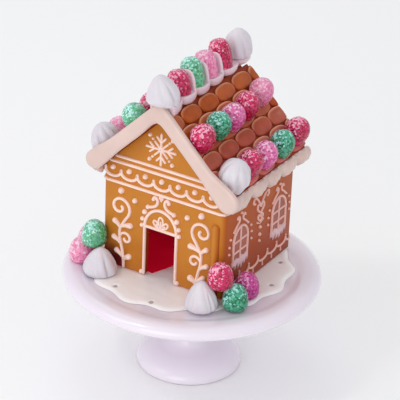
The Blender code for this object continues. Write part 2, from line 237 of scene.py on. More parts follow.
class Paint:
    """A material and the nodes that feed its shader."""

    def __init__(self, name):
        self.material = bpy.data.materials.new(name)
        self.material.use_nodes = True
        self.tree = self.material.node_tree
        self.shader = self.tree.nodes["Principled BSDF"]
        self.place = self.node("TexCoord").outputs["Object"]

    def feed(self, socket, value):
        if isinstance(value, bpy.types.NodeSocket):
            self.tree.links.new(value, socket)
        else:
            socket.default_value = (*value, 1.0) if socket.type == 'RGBA' else value

    def node(self, kind, inputs=None, **settings):
        node = self.tree.nodes.new("ShaderNode" + kind)
        for key, value in settings.items():
            setattr(node, key, value)
        for key, value in (inputs or {}).items():
            self.feed(node.inputs[key], value)
        return node

    def noise(self, scale, detail=2.0):
        inputs = {"Vector": self.place, "Scale": scale, "Detail": detail}
        return self.node("TexNoise", inputs).outputs["Fac"]

    def ramp(self, value, *stops):
        ramp = self.node("ValToRGB", {"Fac": value})
        elements = ramp.color_ramp.elements
        while len(elements) < len(stops):
            elements.new(0.5)
        for element, (position, colour) in zip(elements, stops):
            element.position = position
            element.color = (*colour, 1.0)
        return ramp.outputs["Color"]

    def mix(self, factor, first, second, blend='MIX'):
        inputs = {0: factor, 6: first, 7: second}
        return self.node("Mix", inputs, data_type='RGBA', blend_type=blend).outputs[2]

    def calc(self, operation, first, second=0.0):
        return self.node("Math", {0: first, 1: second}, operation=operation).outputs[0]

    def vector(self, operation, *values):
        """The result of vector maths, which is a number for a dot product."""
        node = self.node("VectorMath", dict(enumerate(values)), operation=operation)
        return node.outputs["Value" if operation == 'DOT_PRODUCT' else "Vector"]

    def part(self, vector, axis):
        return self.node("SeparateXYZ", {"Vector": vector}).outputs[axis]

    def between(self, value, low, high):
        """0 at the low measure and 1 at the high one, both in millimetres."""
        inputs = {"Value": value, "From Min": low * MM, "From Max": high * MM}
        return self.node("MapRange", inputs).outputs["Result"]

    def span(self, axis, low, high):
        return self.between(self.part(self.place, axis), low, high)

    def normal(self):
        return self.node("NewGeometry").outputs["Normal"]

    def bump(self, height, strength, distance=0.4):
        inputs = {"Height": height, "Strength": strength, "Distance": distance * MM}
        self.feed(self.shader.inputs["Normal"], self.node("Bump", inputs).outputs["Normal"])

    def shade(self, colour, **values):
        """Set the shader's inputs and return the finished material."""
        for key, value in {"Base_Color": colour, **values}.items():
            self.feed(self.shader.inputs[key.replace("_", " ")], value)
        return self.material


def gingerbread_material():
    """Glossy caramel plastic, darker and more red towards the foot and in soft patches, with
    painted shade on the side walls.

    The front wall's left corner has painted shade at its foot, a dark crimson patch.
    """
    paint = Paint("gingerbread")
    patches = paint.ramp(paint.noise(45.0, 3.0),
                         (0.3, (0.49, 0.170, 0.020)), (0.7, (0.58, 0.222, 0.030)))
    foot = paint.ramp(paint.span("Z", WALL_FOOT, WALL_FOOT + 30.0),
                      (0.0, (0.48, 0.150, 0.016)), (1.0, (0.56, 0.210, 0.028)))
    colour = paint.mix(0.5, patches, foot)
    # Painted shade: the side walls are darker and more red than the front, most of all low down.
    aside = paint.calc('POWER', paint.calc('ABSOLUTE', paint.part(paint.normal(), "X")), 2.0)
    painted_side_shade = paint.ramp(paint.span("Z", WALL_FOOT, WALL_FOOT + 60.0),
                        (0.0, (0.61, 0.205, 0.105)), (1.0, (0.77, 0.39, 0.15)))
    colour = paint.mix(aside, colour, paint.mix(1.0, colour, painted_side_shade, 'MULTIPLY'))
    # Painted shade: a dark crimson patch at the foot of the front wall's left corner.
    painted_corner_shade = paint.calc('MULTIPLY', paint.span("X", HOUSE_X - 26.5, HOUSE_X - 33.0),
                      paint.span("Z", WALL_FOOT + 19.0, WALL_FOOT + 7.0))
    colour = paint.mix(painted_corner_shade, colour, (0.17, 0.012, 0.014))
    paint.bump(paint.noise(260.0, 3.0), 0.10, 0.25)
    return paint.shade(colour, Roughness=0.32, Specular_IOR_Level=0.15)


def interior_material():
    """Deep crimson with a painted inner light, and painted shade that darkens it towards the back
    of the room.
    """
    paint = Paint("crimson_inside")
    colour = paint.ramp(paint.noise(30.0), (0.3, (0.30, 0.0, 0.010)), (0.7, (0.38, 0.002, 0.016)))
    # Painted shade: the crimson darkens towards the back of the room.
    painted_back_shade = paint.ramp(paint.span("Y", 0.0, BACK_Y),
                      (0.15, (1.0, 1.0, 1.0)), (1.0, (0.42, 0.5, 0.5)))
    colour = paint.mix(1.0, colour, painted_back_shade, 'MULTIPLY')
    # Painted light: the crimson gives off light of its own, though no lamp is inside.
    return paint.shade(colour, Emission_Color=colour, Roughness=0.6, Emission_Strength=0.52,
                       Specular_IOR_Level=0.2)


def piping_material():
    """Cream piping, darker and pinker on the side walls from painted shade."""
    paint = Paint("piping")
    colour = paint.ramp(paint.noise(60.0), (0.35, (0.91, 0.65, 0.56)), (0.65, (0.97, 0.73, 0.64)))
    # Painted shade: on the side walls the piping takes a darker, pinker colour.
    off_middle = paint.calc('SUBTRACT', paint.part(paint.place, "X"), HOUSE_X * MM)
    aside = paint.between(paint.calc('ABSOLUTE', off_middle), HALF_WIDTH - 0.3, HALF_WIDTH)
    paint.bump(paint.noise(240.0), 0.08)
    return paint.shade(paint.mix(aside, colour, (0.80, 0.46, 0.40)), Roughness=0.38,
                       Coat_Weight=0.15, Coat_Roughness=0.15)


def plastic_material(name, light, dark, scale, roughness, coat=0.0, subsurface=0.0, bump=0.1,
                     specular=0.5):
    """Smooth plastic whose colour drifts between two near tones."""
    paint = Paint(name)
    paint.bump(paint.noise(4.0 * scale), bump)
    return paint.shade(paint.ramp(paint.noise(scale), (0.35, dark), (0.65, light)),
                       Roughness=roughness, Coat_Weight=coat, Coat_Roughness=0.15,
                       Specular_IOR_Level=specular, Subsurface_Weight=subsurface,
                       Subsurface_Scale=2.0 * MM)


def tile_material():
    """Caramel tiles, orange brown near the ridge and pinker near the eave, with painted highlights
    along their rims.
    """
    paint = Paint("tiles")
    slope = paint.ramp(paint.span("Z", APEX - 45.0, APEX + 4.0), (0.1, (0.60, 0.135, 0.125)),
                       (0.5, (0.45, 0.062, 0.014)), (0.95, (0.51, 0.095, 0.0)))
    patches = paint.ramp(paint.noise(110.0, 3.0),
                         (0.35, (0.62, 0.44, 0.40)), (0.65, (1.0, 1.0, 1.0)))
    # The tint carries a random tone and the rims' painted highlights, mixed in as pale orange.
    tint = paint.node("Attribute", attribute_name="tint").outputs["Fac"]
    colour = paint.mix(tint, paint.mix(0.6, slope, patches, 'MULTIPLY'), (1.0, 0.50, 0.32))
    paint.bump(paint.noise(220.0), 0.15)
    return paint.shade(colour, Roughness=0.22, Coat_Weight=0.14, Coat_Roughness=0.05,
                       Specular_IOR_Level=0.12, Subsurface_Weight=0.2,
                       Subsurface_Scale=2.0 * MM)


# Direction of the light painted into the candy: its lit side is paler and gathers more sugar.
CANDY_LIGHT_SIDE = (-0.45, -0.35, 0.82)


def gumdrop_material(name, deep, main, pale, rim):
    """Clear candy full of glitter: facets of several tones, with painted light making the lit
    upper side paler and the side below deeper.
    """
    paint = Paint(name)
    grains = paint.node("TexVoronoi", {"Vector": paint.place, "Scale": 820.0,
                                       "Randomness": 1.0}).outputs["Color"]
    pick = paint.node("SeparateColor", {"Color": grains}).outputs["Red"]
    plain = paint.normal()
    # Painted light: the side turned towards the lamps is paler, the side away from them deeper.
    painted_light_facing = paint.vector('DOT_PRODUCT', plain, CANDY_LIGHT_SIDE)
    glitter, light = paint.calc('MULTIPLY', pick, 0.8), paint.calc('MULTIPLY', painted_light_facing, 0.36)
    level = paint.calc('ADD', glitter, light)
    level = paint.calc('ADD', level, paint.calc('MULTIPLY', paint.noise(230.0), 0.30))
    colour = paint.ramp(level, (0.38, deep), (0.57, main), (0.84, main), (1.0, pale))
    turn = paint.vector('SUBTRACT', grains, (0.5, 0.5, 0.5))
    turn = paint.vector('MULTIPLY', turn, (0.9, 0.9, 0.9))
    facet = paint.vector('NORMALIZE', paint.vector('ADD', plain, turn))
    return paint.shade(colour, Normal=facet, Roughness=0.16, Coat_Weight=0.35,
                       Coat_Roughness=0.07, Specular_IOR_Level=0.35, Subsurface_Weight=0.1,
                       Subsurface_Scale=1.5 * MM, Sheen_Weight=1.0, Sheen_Roughness=0.10,
                       Sheen_Tint=rim)


def flake_material(name, colour):
    paint = Paint(name)
    tone = paint.ramp(paint.noise(900.0), (0.4, tuple(0.75 * part for part in colour)),
                      (0.6, colour))
    return paint.shade(tone, Roughness=0.2, Metallic=0.2, Specular_IOR_Level=0.4)


# -------- cake stand

FOOT_RADIUS = 37.1
FOOT_FLAT_RADIUS = 34.5
NECK_RADIUS = 12.0
WELL_RADIUS = 73.0
RIM_HALF_HEIGHT = 5.5
RIM_ROUND = 8.0
STAND_SIDES = 160


def stand_profile():
    """Radius and height: up the foot's dome and the neck, round the rim, across the well."""
    dome = [(NECK_RADIUS + (FOOT_RADIUS - NECK_RADIUS) * cos(angle),
             2.6 + 12.0 * sin(angle))
            for angle in (radians(6.0 * i) for i in range(13))]
    stem = [(NECK_RADIUS + 3.0, 16.3), (NECK_RADIUS + 0.6, 20.0), (NECK_RADIUS, 26.0),
            (NECK_RADIUS, 46.0), (14.0, 53.5), (20.0, 59.0), (34.0, 63.8), (58.0, 65.6)]
    middle = RIM_TOP - RIM_HALF_HEIGHT
    rim = [(PLATE_RADIUS - RIM_ROUND + RIM_ROUND * cos(angle),
            middle + RIM_HALF_HEIGHT * sin(angle))
           for angle in (radians(-90.0 + 11.25 * i) for i in range(17))]
    well = [(PLATE_RADIUS - 11.0, RIM_TOP - 0.1), (WELL_RADIUS + 3.4, RIM_TOP - 0.5),
            (WELL_RADIUS + 1.2, WELL_FLOOR + 0.5), (WELL_RADIUS - 1.6, WELL_FLOOR)]
    return [(FOOT_FLAT_RADIUS, 0.0), (FOOT_RADIUS - 0.8, 0.4), (FOOT_RADIUS, 1.4),
            *spline(dome + stem + rim[:1], 2.5), *rim[1:], *well]


def make_stand(material):
    rings = [[(radius * c, radius * s, z) for c, s in circle(STAND_SIDES)]
             for radius, z in stand_profile()]
    add_piece("stand", Shape().skin(rings, tip=(0.0, 0.0, WELL_FLOOR)), material,
              ["cake_stand"], sharp=60.0)


# -------- icing sheet

ICING_RADIUS = 66.3
ICING_SIDES = 420
ICING_ROWS = 56
ICING_EDGE = ((-0.9, -1.6), (0.0, -1.45), (0.0, -1.2), (-0.7, -0.75), (-1.6, -0.35),
              (-2.6, -0.1), (-3.6, 0.0))   # how far outward and upward of the outline
PIN_HOLES = ((49.1, 37.7), (59.6, 6.7), (4.9, -59.9), (-26.6, -55.8))
PIN_HOLE_RADIUS = 2.3
PIN_FLOOR_RADIUS = 2.0


def icing_reach(angle):
    return ICING_RADIUS + 4.0 * sin(2.0 * angle) + 1.8 * cos(14.0 * angle - 0.9)


def icing_level(x, y):
    """Height of the poured icing: nearly flat, with a few soft ripples and pin dents."""
    level = ICING_TOP - 0.25 + 0.22 * noise.noise(Vector((x / 11.0, y / 7.0, 3.0)))
    for hole_x, hole_y in PIN_HOLES:
        away = hypot(x - hole_x, y - hole_y) / PIN_HOLE_RADIUS
        level -= 0.5 * (1.0 - smoothstep(0.7, 1.1, away))
    return level


def make_icing_sheet(material, hole_material):
    layers = [(*edge, 1.0) for edge in ICING_EDGE]
    layers += [(*ICING_EDGE[-1], 1.0 - row / ICING_ROWS) for row in range(1, ICING_ROWS)]
    rings = []
    for inset, drop, share in layers:
        ring = []
        for i in range(ICING_SIDES):
            angle = TAU * i / ICING_SIDES
            reach = (icing_reach(angle) + inset) * share
            x, y = reach * cos(angle), reach * sin(angle)
            ring.append((x, y, max(WELL_FLOOR + GAP, icing_level(x, y) + drop)))
        rings.append(ring)
    add_piece("poured_icing", Shape().skin(rings, tip=(0.0, 0.0, icing_level(0.0, 0.0))),
              material, ["icing_sheet"], sharp=70.0)
    # Darker discs on the dents' floors paint the shade inside the pin holes.
    holes = Shape()
    for x, y in PIN_HOLES:
        level = icing_level(x, y)
        holes.skin([[(x + PIN_FLOOR_RADIUS * c, y + PIN_FLOOR_RADIUS * s, level + lift)
                     for c, s in circle(20)] for lift in (-0.3, 0.12)], tip=(x, y, level + 0.02))
    add_piece("pin_holes", holes, hole_material, sharp=40.0)


# -------- walls

def rounded_plan(half_x, low_y, high_y, radius):
    """Outline of the house from above, with its four corners rounded."""
    outline = []
    for corner_x, corner_y, start in ((1, 1, 0), (-1, 1, 90), (-1, -1, 180), (1, -1, 270)):
        centre_x = HOUSE_X + corner_x * (half_x - radius)
        centre_y = high_y - radius if corner_y > 0 else low_y + radius
        for step in range(7):
            angle = radians(start + 15.0 * step)
            outline.append((centre_x + radius * cos(angle), centre_y + radius * sin(angle)))
    return outline


def upright(name, outline, low, high, material):
    """Solid of an outline from above, from a low to a high level."""
    shape = Shape().skin([[(x, y, z) for x, y in outline] for z in (low, high)])
    return make_object(name, shape, material)


def lengthwise(name, outline, front, back, material):
    """Solid of an outline from in front, from a front to a back place."""
    shape = Shape().skin([[(x, y, z) for x, z in outline] for y in (front, back)])
    return make_object(name, shape, material)


OVERSHOOT = 5.0                          # how far a cutting solid reaches past what it cuts
EDGE_BEVEL = 0.5


def make_walls(material, inside_material):
    plan = rounded_plan(HALF_WIDTH, FRONT_Y, BACK_Y, CORNER_ROUND)
    house = upright("house_walls", plan, WALL_FOOT, APEX + 2.0 * OVERSHOOT, material)
    top = APEX - GAP * ROOT2
    left, right = HOUSE_X - HALF_WIDTH - 1.0, HOUSE_X + HALF_WIDTH + 1.0
    low, shoulder = WALL_FOOT - 1.0, top - HALF_WIDTH - 1.0
    gable = [(left, low), (right, low), (right, shoulder), (HOUSE_X, top), (left, shoulder)]
    front = FRONT_Y - OVERSHOOT
    combine(house, lengthwise("gable_shape", gable, front, BACK_Y + OVERSHOOT, material),
            'INTERSECT')
    room = rounded_plan(HALF_WIDTH - WALL, FRONT_Y + WALL, BACK_Y - WALL, 1.0)
    low = WALL_FOOT - OVERSHOOT
    combine(house, upright("room", room, low, APEX + 4.0 * OVERSHOOT, material), 'DIFFERENCE')
    left, right = DOOR_X - DOOR_HALF_WIDTH, DOOR_X + DOOR_HALF_WIDTH
    lintel = ICING_TOP + DOOR_HEIGHT
    door = [(left, low), (right, low), (right, lintel), (left, lintel)]
    combine(house, lengthwise("door_way", door, front, FRONT_Y + WALL + OVERSHOOT, material),
            'DIFFERENCE')
    bevel = house.modifiers.new("round_edges", 'BEVEL')
    bevel.width = EDGE_BEVEL * MM
    bevel.segments = 3
    bevel.angle_limit = radians(40.0)
    apply_modifiers(house)
    mesh = house.data
    mesh.materials.clear()
    mesh.materials.append(material)
    mesh.materials.append(inside_material)
    for face in mesh.polygons:
        x, y, _ = face.center / MM
        in_room = (abs(x - HOUSE_X) < HALF_WIDTH - 0.9 * WALL
                   and FRONT_Y + 0.9 * WALL < y < BACK_Y - 0.9 * WALL)
        face.material_index = 1 if in_room else 0
    mesh.shade_smooth()
    mesh.set_sharp_from_angle(angle=radians(30.0))
    finish_piece(house, ["wall_front", "wall_back", "wall_left", "wall_right"])


def make_painted_shade_floor(material):
    """A crimson sheet that paints the shade and red light on the room's floor, leaving the poured
    icing bare inside the door.
    """
    inset = WALL + 0.2
    left, right = HOUSE_X - HALF_WIDTH + inset, HOUSE_X + HALF_WIDTH - inset
    front, back = FRONT_Y + inset, BACK_Y - inset
    jamb = DOOR_X - DOOR_HALF_WIDTH
    edge = spline([(jamb + 3.2, front), (-11.9, -18.0), (-9.2, -10.6), (-5.5, -8.6), (3.0, -9.6),
                   (14.0, -12.0), (22.0, -19.0), (24.0, front)], 1.5)
    outline = [(left, front), *edge, (right, front), (right, back), (left, back)]
    rings = [[(x, y, z) for x, y in outline] for z in (ICING_TOP - 0.4, WALL_FOOT - 0.05)]
    add_piece("painted_shade_floor", Shape().skin(rings), material, sharp=40.0)


RIB_X = 36.5
RIB_RADIUS = 3.0
RIB_TOP = 133.4


def make_corner_rib(material):
    """The upright half-round rib by the front wall's right corner."""
    levels = [(WALL_FOOT, 1.0), (RIB_TOP - RIB_RADIUS, 1.0)]
    levels += [(RIB_TOP - RIB_RADIUS * (1.0 - sin(radians(a))),
                cos(radians(a))) for a in (20.0, 40.0, 60.0, 78.0)]
    rings = [[(RIB_X + RIB_RADIUS * width * c, FRONT_Y + RIB_RADIUS * width * s, z)
              for c, s in circle(28)] for z, width in levels]
    add_piece("corner_rib", Shape().skin(rings, tip=(RIB_X, FRONT_Y, RIB_TOP)), material,
              sharp=60.0)


# -------- piped ornament

RELIEF = 0.62                            # height of a stroke or dot, as a share of its width
SUNK = 0.15                              # how deep a stroke's edges lie in the wall


class Ornament:
    """Raised strokes and dots on one wall.

    Places on the wall are given as a distance across it from the ornament's middle, to the right
    as seen from outside, and a height above the wall's foot.
    """

    def __init__(self, x, y, outward, width, half, middle):
        self.origin = Vector((x, y, WALL_FOOT))
        self.outward = Vector(outward)
        self.across = UP.cross(self.outward)
        self.width = width               # of a plain stroke
        flat = half - CORNER_ROUND       # from the wall's middle to where its corners begin
        self.ends = (-flat - middle, flat - middle)
        self.shape = Shape()

    def at(self, across, up, out):
        """A point at a height out of the wall, which bends round the wall's corners."""
        for end, side in zip(self.ends, (-1, 1)):
            beyond = side * (across - end)
            if beyond > 0.0:
                angle = min(beyond / CORNER_ROUND, 0.5 * pi)
                across = end + side * (CORNER_ROUND + out) * sin(angle)
                out = (CORNER_ROUND + out) * cos(angle) - CORNER_ROUND
                break
        return self.origin + self.across * across + UP * up + self.outward * out

    def ring(self, centre, side, radius, height):
        """Half-round section of a stroke, closed along the wall."""
        points = []
        for i in range(8):
            angle = pi * i / 7
            offset = radius * cos(angle)
            points.append(self.at(centre.x + side.x * offset, centre.y + side.y * offset,
                                  (height + SUNK) * sin(angle) - SUNK))
        return points

    def stroke(self, points, width=None, taper=(1.0, 1.0), closed=False):
        """A piped line through points, whose width runs from taper's first share to its last."""
        points = [Vector(point) for point in points]
        radius = 0.5 * (width or self.width)
        last = len(points) - 1
        rings = []
        for i, point in enumerate(points):
            if closed:
                ahead, behind = points[(i + 1) % len(points)], points[i - 1]
            else:
                ahead, behind = points[min(i + 1, last)], points[max(i - 1, 0)]
            along = (ahead - behind).normalized()
            side = Vector((-along.y, along.x))
            here = radius * mix(taper[0], taper[1], i / max(1, last))
            turns = [0.0]                # of the rings that round off each end
            if not closed and i == 0:
                turns = [-1.35, -0.9, -0.45] + turns
            if not closed and i == last:
                turns = turns + [0.45, 0.9, 1.35]
            rings += [self.ring(point + along * here * sin(turn), side,
                                here * cos(turn), RELIEF * here * 2.0 * cos(turn))
                      for turn in turns]
        self.shape.skin(rings, closed=closed)

    def dot(self, across, up, radius):
        rings = []
        for angle in (radians(-8.0 + 26.0 * step) for step in range(4)):
            rings.append([self.at(across + radius * cos(angle) * c,
                                  up + radius * cos(angle) * s,
                                  RELIEF * 2.0 * radius * sin(angle))
                          for c, s in circle(18)])
        self.shape.skin(rings, tip=self.at(across, up, RELIEF * 2.0 * radius))

    def line(self, start, end, up):
        steps = max(2, round(abs(end - start) / 3.0))
        self.stroke([(across, up) for across in steps_between(start, end, steps)])

    def curve(self, points):
        self.stroke(spline(points, 0.7))

    def leaf(self, stem, ball, radius, bend=0.0):
        """A teardrop from the stem to a round end, bowed sideways by bend."""
        stem, ball = Vector(stem), Vector(ball)
        along = ball - stem
        middle = stem + 0.5 * along + Vector((-along.y, along.x)).normalized() * bend
        self.stroke(spline([stem, middle, ball], 0.6), width=2.0 * radius, taper=(0.45, 1.0))

    def scallops(self, start, pitch, count, top, depth):
        """Hanging arcs from cusp to cusp."""
        for left in (start + pitch * number for number in range(count)):
            self.stroke([(left + 0.5 * pitch * (1.0 - cos(angle)),
                          top - depth * sin(angle) ** 0.8)
                         for angle in (pi * i / 12 for i in range(13))])

    def finish(self, name, material):
        add_piece("piping_" + name, self.shape, material, sharp=75.0)


def mirrored(points, side):
    return [(side * across, up) for across, up in points]


def coil(centre, first, last, start, step, count):
    """Points round a spiral from radius first to last, turning by so many degrees each."""
    points = []
    for i in range(count):
        angle = radians(start + step * i)
        radius = mix(first, last, i / (count - 1))
        points.append((centre[0] - radius * cos(angle), centre[1] + radius * sin(angle)))
    return points


VINE_STEM = ((29.2, 0.8), (29.3, 6.0), (30.3, 13.0), (32.0, 20.0), (32.8, 26.0), (32.3, 30.0),
             (29.2, 36.0), (25.9, 41.0))
VINE_LEAVES = (((32.5, 30.2), (36.6, 34.6), 2.05, 0.5), ((31.6, 31.2), (24.2, 33.9), 2.15, -0.5),
               ((31.7, 17.9), (37.2, 22.0), 2.0, 0.5), ((29.8, 7.6), (34.8, 12.2), 2.0, 0.5),
               ((29.4, 5.8), (24.9, 9.6), 2.25, -0.5))     # stem, round end, radius, bend


def pipe_vines(pen):
    """A scrolling vine on the left and its mirror image on the right."""
    upper_coil = [VINE_STEM[-1], *coil((32.8, 46.0), 8.1, 1.7, -14.0, 12.0, 34)]
    lower_coil = [(31.2, 16.5), *coil((27.6, 22.9), 5.1, 1.5, 190.0, -12.0, 30)]
    for side in (-1, 1):
        pen.dot(side * 31.9, 58.9, 2.3)
        pen.dot(side * 20.9, 54.3, 1.95)
        for points, width in ((VINE_STEM, 1.0), (upper_coil, 1.0), (lower_coil, 0.9)):
            pen.stroke(spline(mirrored(points, side), 0.8), width=width * pen.width)
        for stem, ball, radius, bend in VINE_LEAVES:
            pen.leaf(*mirrored((stem, ball), side), radius, side * bend)


def arch_points(half, spring, rise, foot):
    """Points up one jamb, over the arch and down the other."""
    steps = max(2, round((spring - foot) / 3.0))
    points = [(-half, up) for up in steps_between(foot, spring, steps)[:-1]]
    points += [(-half * cos(pi * i / 24), spring + rise * sin(pi * i / 24)) for i in range(25)]
    return points + [(half, up) for up in steps_between(spring, foot, steps)[1:]]


DOOR_ARCH_RISE = 14.6
DOOR_CROWN = 14.8                        # foot of the scrolls above the arch's springing
DOOR_SCROLL = ((10.1, 0.3), (6.6, 1.3), (3.9, 3.1), (2.8, 5.9), (3.5, 8.4), (5.3, 9.1), (6.3, 7.6))


def pipe_doorway(pen):
    """An arch with three petals in it, two S-scrolls leaning on it and dots beside it."""
    half = DOOR_HALF_WIDTH + 0.5 * pen.width - 0.9
    spring = DOOR_HEIGHT + 0.9
    pen.stroke(arch_points(half, spring, DOOR_ARCH_RISE, 1.2))
    pen.line(-half, half, spring)
    for lean, length, width in ((0.0, 8.4, 2.2), (42.0, 6.6, 1.9), (-42.0, 6.6, 1.9)):
        s, c = sin(radians(lean)), cos(radians(lean))

        def leaning_point(along, aside=0.0):
            return along * s + aside * c, spring + along * c - aside * s

        petal = []
        for across, up in circle(22):
            aside = width * up * (0.55 + 0.45 * (1.0 - across) * 0.5)
            petal.append(leaning_point(0.5 * length * (1.0 - across) + 1.4, aside))
        pen.stroke(petal, width=1.5, closed=True)
        pen.stroke([leaning_point(along) for along in (2.4, 0.45 * length, 0.75 * length)],
                   width=1.2)
    crown = spring + DOOR_CROWN
    for side in (-1, 1):
        pen.curve([(across, crown + up) for across, up in mirrored(DOOR_SCROLL, side)])
        pen.dot(side * 10.4, crown + 0.3, 0.75 * pen.width)
        pen.dot(side * 6.1, crown + 7.3, 0.62 * pen.width)
    for side in (-1, 1):
        pen.leaf((0.0, crown + 7.2), (side * 0.9, crown + 9.9), 0.5 * pen.width)
    for side in (-1, 1):
        for across, up, radius in ((12.8, 10.6, 1.9), (14.5, 5.0, 1.65), (14.8, 0.0, 1.6)):
            pen.dot(side * across, spring + up, radius)
        pen.dot(side * 14.4, 1.8, 1.7)


def pipe_snowflake(pen, across, up, reach):
    """Four long feathered arms, four short ones, and dots between them."""
    for quarter in range(4):
        turn = radians(90.0 * quarter)
        c, s = cos(turn), sin(turn)

        def at(along, aside):
            return across + along * c - aside * s, up + along * s + aside * c

        pen.stroke([at(0.12 * reach * i, 0.0) for i in range(9)], width=1.9)
        for aside in (-1, 1):
            pen.stroke([at(0.42 * reach, 0.0), at(0.74 * reach, 0.28 * reach * aside)], width=1.7)
        pen.stroke([at(0.0, 0.0), at(0.42 * reach, 0.42 * reach)], width=1.6)
        pen.dot(*at(0.56 * reach, 0.56 * reach), 1.05)
        pen.dot(*at(0.76 * reach, 0.76 * reach), 1.55)


SCALLOP_PITCH = 13.0
SCALLOPS = 7


def pipe_gable_borders(pen):
    """Three lines across the wall, scallops with dots between them, and the snowflake."""
    top = APEX - WALL_FOOT
    offset = pen.origin.x - HOUSE_X
    edge = HALF_WIDTH - CORNER_ROUND + 0.5 * pi * CORNER_ROUND
    for up, reach in ((84.3, top - 85.9), (79.8, top - 81.4), (64.4, edge)):
        reach = min(reach, edge)
        pen.line(-reach - offset * pen.across.x, reach - offset * pen.across.x, up)
    pen.scallops(-0.5 * SCALLOPS * SCALLOP_PITCH, SCALLOP_PITCH, SCALLOPS, 73.7, 5.3)
    for number in range(SCALLOPS):
        pen.dot(-39.0 + SCALLOP_PITCH * number, 74.9, 1.95)
    pipe_snowflake(pen, -1.3, 98.4, 11.8)


WINDOW_HALF = 9.3
WINDOW_FOOT = 23.2
WINDOW_SPRING = 37.4
WINDOW_RISE = 10.4
WINDOW_OUTLINE = arch_points(WINDOW_HALF, WINDOW_SPRING, WINDOW_RISE, WINDOW_FOOT)
WINDOW_SCROLL = ((8.9, -1.6), (5.6, 1.6), (3.0, 3.4), (2.2, 5.6), (2.9, 7.4), (4.3, 7.7),
                 (4.9, 6.5))
SIDE_WINDOWS = (-25.9, 25.9)


def pipe_window(pen, middle):
    """Arched window with glazing bars, scrolls above it and dots beside it."""
    pen.stroke([(middle + across, up) for across, up in WINDOW_OUTLINE], width=2.0)
    for up in (WINDOW_SPRING, 0.5 * (WINDOW_FOOT + WINDOW_SPRING) - 0.9):
        pen.line(middle - WINDOW_HALF, middle + WINDOW_HALF, up)
    crown = WINDOW_SPRING + WINDOW_RISE
    pen.stroke([(middle, up) for up in steps_between(WINDOW_FOOT, crown, 8)])
    crown += 0.6
    for side in (-1, 1):
        pen.curve([(middle + side * x, crown + y) for x, y in WINDOW_SCROLL])
        pen.dot(middle + side * 9.2, crown - 1.8, 1.0)
        pen.dot(middle + side * 4.8, crown + 6.3, 0.85)
        for across, up in ((13.4, 42.8), (14.6, 37.4), (14.6, 32.0)):
            pen.dot(middle + side * across, up, 1.05)
    pen.dot(middle, crown + 9.4, 1.2)


HANGING_WING = ((0.4, 52.6), (3.6, 57.2), (7.0, 60.4), (9.6, 60.2), (10.2, 57.6), (8.6, 56.4))
HANGING_HEART = ((0.0, 46.6), (2.4, 48.6), (4.4, 51.2), (3.7, 53.6), (1.6, 53.4), (0.0, 51.6))
SMALL_HEART = ((0.0, 40.2), (1.7, 41.6), (3.2, 43.6), (2.5, 45.4), (1.0, 45.0), (0.0, 43.8))


def pipe_hanging(pen):
    """Wings, hearts and dots that hang between the two windows."""
    for side in (-1, 1):
        pen.curve(mirrored(HANGING_WING, side))
        pen.dot(side * 8.4, 56.6, 1.0)
        pen.curve(mirrored(HANGING_HEART, side))
        pen.curve(mirrored(SMALL_HEART, side))
        pen.leaf((0.0, 38.0), (side * 4.0, 40.4), 0.75)
    for up, radius in ((35.6, 1.35), (30.0, 1.35), (25.0, 1.15)):
        pen.dot(0.0, up, radius)


GARLAND_PITCH = 12.7
GARLAND_END = ((38.1, 11.0), (39.4, 8.3), (42.0, 7.2), (45.0, 8.2))


def pipe_garland(pen):
    """Small scallops along the foot, with a drop under each."""
    pen.scallops(-3.0 * GARLAND_PITCH, GARLAND_PITCH, 6, 11.0, 3.9)
    for number in range(6):
        middle = GARLAND_PITCH * (number - 2.5)
        pen.leaf((middle, 6.8), (middle, 3.2), 0.75)
    for number in range(7):
        pen.dot(GARLAND_PITCH * (number - 3.0), 12.6, 0.8)
    for side in (-1, 1):
        pen.curve(mirrored(GARLAND_END, side))


SNOW_OVERHANG = 1.5


def make_window_parts(name, pen, middles, pane_material, snow_material):
    """Panes a little sunk behind the bars, and the snow on each sill."""
    panes, snow = Shape(), Shape()
    reach = WINDOW_HALF + SNOW_OVERHANG
    for middle in middles:
        panes.skin([[pen.at(middle + across, up, out) for across, up in WINDOW_OUTLINE]
                    for out in (-0.1, 0.22)])
        rings = []
        for across in steps_between(-reach, reach, 72):
            edge = sqrt(max(0.0, 1.0 - (across / reach) ** 8))
            drips = (3.4 * sin(across * 0.78 + 0.6) ** 4 + 1.1 * sin(0.47 * across + 1.1))
            high = WINDOW_FOOT + (1.4 + 0.6 * sin(0.9 * across)) * edge
            low = WINDOW_FOOT - (3.9 + drips) * edge
            centre, half = 0.5 * (high + low), max(0.15, 0.5 * (high - low))
            rings.append([pen.at(middle + across, centre + half * c, max(-0.15, 1.5 * edge * s))
                          for c, s in superellipse(1.0, 1.0, 0.8, 16)])
        snow.skin(rings)
    add_piece("panes_" + name, panes, pane_material, sharp=40.0)
    add_piece("sill_snow_" + name, snow, snow_material, sharp=75.0)


